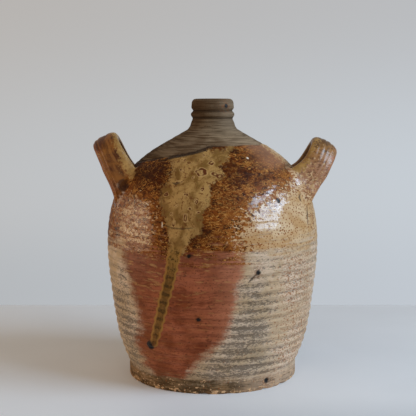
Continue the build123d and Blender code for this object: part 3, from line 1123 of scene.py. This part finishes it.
def shoulder_glaze(n):
    """Rust-brown glaze that breaks through speckles into pale cream where it ran thin."""
    clouds = n.noise(15, 4, 0.6, warp=0.6, wide=1.6, shift=5.3)
    mottles = n.noise(3.1, 5, 0.70, warp=0.7, wide=1.8, shift=8.4)
    speckles = n.noise(2.6, 3, 0.6, warp=0.5, wide=1.5, shift=1.7)
    worms = n.noise(3.8, 3, 0.55, warp=1.4, wide=2.0, shift=2.6)
    threads = n.between(n.apart(worms, 0.5), 0.030, 0.010)
    on_body = n.scaled("strap", -0.8, 1.0)
    right_strap = n.times("strap", n.between("side", 0.0, 0.4))
    golden = n.times(n.between(clouds, 0.36, 0.54, 0.9), on_body)
    # Painted sheen: a lighter pinkish tone high on the right shoulder.
    painted_right_sheen = n.times(n.between("side", 0.45, 0.8, 0.5), n.between("height", 222, 236))
    crest = n.between(n.moved("height", (mottles, 26)), 244, 254, 0.8)

    brown = n.coats(
        tint(80, 36, 6),
        (n.between(clouds, 0.36, 0.64), (122, 62, 16)),
        (n.times(n.between("side", 0.0, -0.35, 0.9), on_body), (76, 32, 4)),
        (n.between("cream", -30, 0), (140, 78, 30)),
        (n.times(n.between(mottles, 0.50, 0.58, 0.85), on_body), (50, 22, 7)),
        (n.times(n.between(mottles, 0.44, 0.37, 0.5), on_body), (176, 114, 48)),
        (n.times(threads, golden), (192, 136, 68)),
        (painted_right_sheen, (178, 128, 98)),
    )

    # The straps: pulled streaks, a golden tone, and the right one's paler and mottled glaze.
    brown = n.coats(
        brown,
        (n.between("streak", 0.15, 0.6, 0.55), (58, 30, 12)),
        (n.between("streak", -0.15, -0.7, 0.5), (158, 102, 46)),
        (n.times("strap", n.between(clouds, 0.35, 0.6, 0.6)), (150, 96, 36)),
    )
    low_part = n.between(n.moved("height", (clouds, 30)), 250, 226)
    strap_glaze = n.mix(low_part, tint(160, 116, 62), tint(178, 134, 104))
    brown = n.mix(n.times(right_strap, 0.6), brown, strap_glaze)
    brown = n.coats(
        brown,
        (n.times(n.between(mottles, 0.50, 0.60, 0.65), right_strap), (84, 50, 24)),
        (n.times(crest, right_strap), (82, 50, 22)),
    )

    dots = n.scaled(clouds, -0.30, n.cells(2.5, 5.9))
    pale = n.coats(
        tint(188, 146, 98),
        (n.between(clouds, 0.35, 0.65), (210, 178, 138)),
        (n.between(dots, 0.22, 0.12), (140, 82, 34)),
    )

    # Where the glaze is thin, more of the speckles break open; on the left they lie in stripes that
    # make a painted sheen.
    thin = n.plus(n.scaled("cream", 0.0115, -0.03), n.between("height", 178, 142, 0.07))
    painted_sheen_stripes = n.plus(n.noise(4.2, 2, 0.5, wide=7, shift=0.8), -0.5)
    left_body = n.times(n.between("side", -0.2, -0.5, 0.7), n.scaled("strap", -1.0, 1.0))
    thin = n.scaled(painted_sheen_stripes, left_body, thin)
    broken = n.scaled(thin, -1.0, speckles)
    colour = n.mix(n.between(broken, 0.465, 0.535), pale, brown)

    # Glossy where SHINE says so, but in patches.
    patches = n.noise(3.0, 4, 0.68, warp=0.4, wide=1.7, shift=6.6)
    glossy = n.scaled(n.plus(patches, -0.54), -26.0, n.math("MINIMUM", "shine", 1.6))
    satin, gloss = n.blend(clouds, 0.40, 0.50), n.blend(clouds, 0.10, 0.17)
    rough = n.blend(n.between(glossy, -1.6, 3.0), satin, gloss)
    rough = n.blend(n.between("strap", 0.75, 1.0, 0.8), rough, 0.24)

    calm = n.times(n.between("cream", -24, 4), n.between("side", -0.1, 0.1))
    fine = n.times(n.plus(mottles, worms), n.times(on_body, 0.7))
    return colour, rough, n.times(fine, n.scaled(calm, -1.0, 1.15))


def wood_ash(n):
    """Olive-tan ash that melted on the shoulder, with the brown holes of burst bubbles."""
    clouds = n.noise(13, 4, 0.6, warp=0.5, tall=1.7, shift=9.9)
    small = n.noise(3.4, 3, 0.6, warp=0.8, shift=4.4)
    rim = n.times(n.between("rings", 0.08, 0.24, 0.6), n.between("ash", 1, 4))
    colour = n.coats(
        tint(122, 86, 36),
        (n.between(clouds, 0.38, 0.62), (176, 137, 80)),
        (n.between(small, 0.56, 0.64, 0.85), (104, 58, 20)),
        (n.between(small, 0.42, 0.32, 0.6), (116, 90, 46)),
        (rim, (200, 162, 104)),
        (n.between("rings", 0.26, 0.58), (92, 44, 14)),
        (n.times("strap", 0.4), (196, 150, 86)),
    )
    return colour, 0.34, n.times(small, 0.6)


def lower_body(n):
    """Grey-beige body, with grey-black flecks that smoke left in the throwing grooves."""
    dashes = n.noise(1.5, 5, 0.76, warp=0.5, wide=2.2, shift=7.1)
    lines = n.noise(2.4, 3, 0.6, wide=18, shift=2.2)
    patches = n.noise(30, 3, 0.6, shift=4.8)
    rust = n.noise(1.6, 4, 0.62, wide=1.6, shift=3.9)
    dark = n.scaled(patches, 0.3, n.plus(dashes, -0.04))
    dark = n.scaled("smoke", 0.0044, n.scaled("groove", -0.075, dark))
    rusty = n.scaled("rust", 0.0050, rust)
    colour = n.coats(
        tint(196, 167, 132),
        (n.between(patches, 0.38, 0.62), (217, 191, 164)),
        (n.between("side", 0.35, 0.85, 0.25), (226, 196, 168)),
        (n.between(lines, 0.46, 0.62, 0.34), (124, 108, 86)),
        (n.between(n.moved("smoke", (patches, 30)), -7, 9, 0.14), (136, 124, 104)),
        (n.between(dark, 0.60, 0.70, 0.72), (80, 69, 58)),
        (n.between(rusty, 0.57, 0.66, 0.85), (156, 96, 52)),
    )
    return colour, n.blend(patches, 0.42, 0.60), n.scaled(lines, 0.5, dashes)


def blush(n):
    """Brick-red flashing, with thin dark lines and a few ochre ones."""
    clouds = n.noise(26, 4, 0.6, shift=2.9)
    lines = n.noise(1.9, 4, 0.66, wide=7, shift=5.7)
    specks = n.noise(1.6, 3, 0.62, wide=1.6, shift=9.1)
    ochre = n.noise(3.0, 3, 0.6, wide=5, shift=6.9)
    upper = n.between("height", 70, 150)
    ochre_lines = n.times(n.between(ochre, 0.56, 0.68), n.scaled(upper, 0.6, 0.15))
    colour = n.coats(
        tint(130, 68, 40),
        (n.between(clouds, 0.36, 0.64), (164, 94, 64)),
        (n.between(lines, 0.48, 0.62, 0.55), (98, 44, 26)),
        (n.between("side", -0.1, 0.3, 0.45), (206, 140, 106)),
        (n.between("side", -0.3, -0.8, 0.35), (104, 62, 34)),
        (ochre_lines, (182, 138, 84)),
        (n.between(specks, 0.57, 0.67, 0.7), (76, 42, 28)),
    )
    return colour, n.blend(upper, 0.5, 0.34), n.scaled(specks, 0.4, lines)


def glaze_run(n):
    """The olive run: dark beads down its middle and ochre along its edges."""
    fine = n.noise(2.4, 3, 0.6, shift=7.7)
    bead = n.between(n.moved("beads", (fine, 3)), -0.2, 1.2, 0.8)
    top = n.times(n.between("height", 118, 150), n.between(fine, 0.6, 0.45))
    colour = n.coats(
        tint(128, 88, 40),
        (n.between(fine, 0.35, 0.65), (104, 74, 32)),
        (n.times(bead, n.between("run", 1.6, 3.4)), (62, 44, 20)),
        (top, (150, 112, 58)),
        (n.between("run", 2.6, 1.2, 0.8), (164, 118, 58)),
    )
    return colour, 0.42, fine


def foot_clay(n):
    """Rough unglazed clay of the foot: scorched brown streaks, with pale and rusty chips."""
    scorch = n.noise(9, 4, 0.65, wide=2.5, shift=1.1)
    lines = n.noise(1.5, 3, 0.6, wide=9, shift=5.1)
    chips = n.noise(3.2, 4, 0.66, wide=1.6, shift=3.3)
    flecks = n.noise(2.2, 4, 0.7, shift=8.3)
    at_rim = n.plus(chips, n.between("height", 7, 1, 0.09))
    colour = n.coats(
        tint(158, 124, 88),
        (n.between(scorch, 0.38, 0.60), (78, 58, 36)),
        (n.times("scorch", 0.6), (82, 66, 46)),
        (n.between("side", 0.1, 0.7, 0.55), (208, 178, 150)),
        (n.between(lines, 0.50, 0.62, 0.6), (58, 42, 28)),
        (n.between(at_rim, 0.60, 0.66), (206, 166, 124)),
        (n.between(flecks, 0.58, 0.66, 0.8), (140, 80, 42)),
    )
    return colour, 0.9, n.scaled(lines, 0.5, chips)


def fired_stoneware():
    """One material for the whole outside: each layer lies over the one before."""
    n = Nodes(bpy.data.materials.new("fired_stoneware"))
    ragged = n.noise(2.6, 4, 0.65, shift=6.2)
    wide = n.noise(13, 4, 0.6, shift=4.2)
    bands = n.noise(4.4, 3, 0.6, wide=14, shift=3.6)

    flashed = blush(n)
    red = n.between(n.moved("blush", (ragged, 9), (wide, 10), (bands, 12)), -5, 5)
    surface = n.lay(red, lower_body(n), flashed)
    glaze_line = n.moved("height", (wide, 30), (bands, 90), (ragged, 34))
    surface = n.lay(n.between(glaze_line, 138, 160), surface, shoulder_glaze(n))
    surface = n.lay(n.times(red, "strap"), surface, flashed)
    ash = n.between(n.moved("ash", (ragged, 15), (wide, 8)), -1.2, 1.2)
    surface = n.lay(ash, surface, wood_ash(n))
    run = n.between(n.moved("run", (ragged, 1.6)), -0.3, 0.5)
    run_top = n.between(n.moved("height", (wide, 24)), 160, 146)
    surface = n.lay(n.times(run, run_top), surface, glaze_run(n))
    glazed = n.between(n.moved("glaze", (ragged, 2.4)), -0.4, 0.4)
    colour, rough, fine = n.lay(glazed, dry_clay(n), surface)

    # The glaze's edge, with a dark line on the left and a paler band of clay above it on the
    # right; then painted shade with a few darker patches of glaze, and strokes; then the foot; then
    # spots with the rust that bled from them, and painted glints.
    line = n.between(n.math("ABSOLUTE", n.moved("glaze", (ragged, 4))), 2.2, 0.7)
    line = n.times(line, n.between(wide, 0.36, 0.52))
    line = n.times(line, n.between("side", 0.25, -0.1, 0.85))
    bare_band = n.times(n.between(n.moved("glaze", (wide, 8)), -9, -2), n.between("glaze", 1, -1))
    bare_band = n.times(bare_band, n.between("side", 0.1, 0.5, 0.16))
    colour = n.coats(
        colour,
        (line, (46, 32, 24)),
        (bare_band, (190, 160, 130)),
        # painted shade, and darker glaze in a few patches
        (n.times("shade", 0.75), (50, 26, 15)),
        (n.between("strokes", -0.5, 0.6, 0.75), (44, 30, 20)),
    )
    bare_foot = n.between(n.moved("height", (ragged, 12), (bands, 20)), 22, 8)
    colour, rough, fine = n.lay(bare_foot, (colour, rough, fine), foot_clay(n))
    colour = n.coats(
        colour,
        (n.times("halo", n.between(ragged, 0.44, 0.56, 0.5)), (134, 78, 40)),
        ("spots", (22, 18, 17)),
        # painted glints
        (n.between("glints", -0.4, 0.4), (236, 222, 198)),
    )
    rough = n.blend("spots", rough, 0.38)
    specular = n.scaled(n.between(rough, 0.45, 0.10), 0.76, 0.08)
    return n.finish(colour, rough, fine, bump_distance=0.6, specular=specular)


def bare_inside():
    """Unglazed clay of the inside and the underside."""
    n = Nodes(bpy.data.materials.new("bare_clay"))
    grain = n.noise(1.4, 4, 0.7)
    smoke = n.noise(30, 3, 0.5, shift=2.0)
    colour = n.coats(
        tint(150, 118, 88),
        (n.between(grain, 0.4, 0.7), (112, 84, 60)),
        (n.between(smoke, 0.4, 0.65), (92, 66, 46)),
    )
    return n.finish(colour, 0.9, grain, bump_distance=0.35)


# ---------------------------------------------------------------- the object
lower_inside = inner_strip(inside_breaks["shoulder"], inside_breaks["floor"])
shoulder_inside = inner_strip(inside_breaks["neck"], inside_breaks["shoulder"])
neck_inside = inner_strip(inside_breaks["lip"], inside_breaks["neck"], 2.0)
body_pieces = {
    "foot": make_foot(),
    "lower_wall": make_wall("lower_body", 1, lower_inside),
    "shoulder": make_wall("shoulder_body", 2, shoulder_inside),
    "neck": make_wall("neck_collar", 3, neck_inside, inner=(1, 3)),
    "lip": make_lip(),
}
stoneware, bare = fired_stoneware(), bare_inside()
replaced = [(piece, node) for node, piece in body_pieces.items()]
for side_name in HANDLES:
    front_root, strap, rear_root = split_handle(side_name)
    replaced += [
        (front_root, f"{side_name}_front_pad"),
        (strap, f"{side_name}_handle"),
        (rear_root, f"{side_name}_rear_pad"),
    ]
for piece, node in replaced:
    piece.data.materials.append(stoneware)
    piece.data.materials.append(bare)
    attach(piece, "root")
    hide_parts(node)


# ---------------------------------------------------------------- camera, floor and light
CAMERA_PLACE = (-0.0049, -1.120, 0.315)
CAMERA_DIP = 6.81                  # degrees below level
LENS = 89.6
JUG_MIDDLE = (0, 0, 0.13)
TABLE_HALF = 0.341
TABLE_CORNER = 0.014
TABLE_THICKNESS = 0.03
DAYLIGHT = (0.60, 0.79, 1.0)

camera = bpy.data.objects.new("camera", bpy.data.cameras.new("camera"))
camera.data.sensor_width = 36.0
camera.data.lens = LENS
camera.location = CAMERA_PLACE
camera.rotation_euler = (np.radians(90 - CAMERA_DIP), 0, 0)
bpy.context.collection.objects.link(camera)
bpy.context.scene.camera = camera


def make_table():
    """The pale table that the jug stands on, with small rounded corners."""
    inset = TABLE_HALF - TABLE_CORNER
    outline = [
        (side_x * inset + TABLE_CORNER * np.cos(angle), side_y * inset + TABLE_CORNER * np.sin(angle))
        for side_x, side_y, start in ((1, 1, 0), (-1, 1, 90), (-1, -1, 180), (1, -1, 270))
        for angle in np.radians(np.linspace(start, start + 90, 8))
    ]
    count = len(outline)
    points = [(x, y, z) for z in (0.0, -TABLE_THICKNESS) for x, y in outline]
    faces = [tuple(range(count)), tuple(range(2 * count - 1, count - 1, -1))]
    faces += [(k, k + count, (k + 1) % count + count, (k + 1) % count) for k in range(count)]
    mesh = bpy.data.meshes.new("table")
    mesh.from_pydata(points, [], faces)
    table = bpy.data.objects.new("table", mesh)
    bpy.context.collection.objects.link(table)
    n = Nodes(bpy.data.materials.new("painted_table"))
    grain = n.noise(120, 3, 0.5)
    x, y, _ = n.split(n.coordinates["Object"])
    # Painted shade: the table is darker just in front of the jug.
    painted_floor_shade = n.times(n.between(y, -0.08, -0.20), n.between(x, -0.12, 0.02))
    colour = n.coats(
        tint(237, 238, 240),
        (n.between(grain, 0.3, 0.7), (240, 241, 243)),
        (painted_floor_shade, (214, 217, 221)),
    )
    mesh.materials.append(n.finish(colour, 0.62, grain, bump_distance=0.02))


def area_light(name, place, width, height, power, colour, shiny=True, lights=True):
    """A soft rectangular light that faces the middle of the jug. `shiny` is whether it shows in
    the glaze, and `lights` whether it lights matt surfaces."""
    light = bpy.data.lights.new(name, "AREA")
    light.shape = "RECTANGLE"
    light.size, light.size_y = width, height
    light.energy = power
    light.color = colour
    lamp = bpy.data.objects.new(name, light)
    lamp.location = place
    lamp.visible_glossy = shiny
    lamp.visible_diffuse = lights
    x, y, z = np.array(JUG_MIDDLE) - place
    lamp.rotation_euler = (np.arctan2(np.hypot(x, y), -z), 0, np.arctan2(y, x) - np.pi / 2)
    bpy.context.collection.objects.link(lamp)


def make_world():
    """A plain room: a cool pale wall behind the jug, and warmer and dimmer walls round the rest."""
    world = bpy.data.worlds.new("room")
    bpy.context.scene.world = world
    n = Nodes(world)
    x, y, z = n.split(n.coordinates["Generated"])
    rightwards = n.between(x, -0.22, 0.22, soft=False)
    wall = n.mix(rightwards, tint(190, 191, 192), tint(198, 205, 212))
    low_wall = n.mix(rightwards, tint(180, 183, 186), tint(193, 200, 208))
    high_wall = n.mix(rightwards, tint(183, 179, 175), tint(186, 188, 191))
    wall = n.mix(n.between(z, -0.10, -0.20), wall, low_wall)
    wall = n.mix(n.between(z, -0.09, 0.09), wall, high_wall)
    room = n.mix(n.between(x, -0.6, 0.6), tint(144, 135, 124), tint(146, 140, 132))
    colour = n.mix(n.between(y, 0.86, 0.95), room, wall)
    background = n.feed(n.new("Background"), {"Color": colour})
    n.feed(n.new("OutputWorld"), {"Surface": background[0]})


make_table()
make_world()
area_light("window", (1.66, -0.74, 1.12), 1.25, 1.6, 38, DAYLIGHT)
area_light("window_side", (1.98, -0.02, 1.12), 0.75, 1.6, 24, DAYLIGHT, lights=False)
area_light("far_wall", (-1.3, -0.1, 0.33), 0.9, 0.7, 4, (1.0, 0.76, 0.54))
area_light("fill", (-0.5, -2.2, 1.2), 3.0, 2.0, 10.5, (1.0, 0.88, 0.76), shiny=False)
bpy.context.scene.view_settings.view_transform = "Standard"
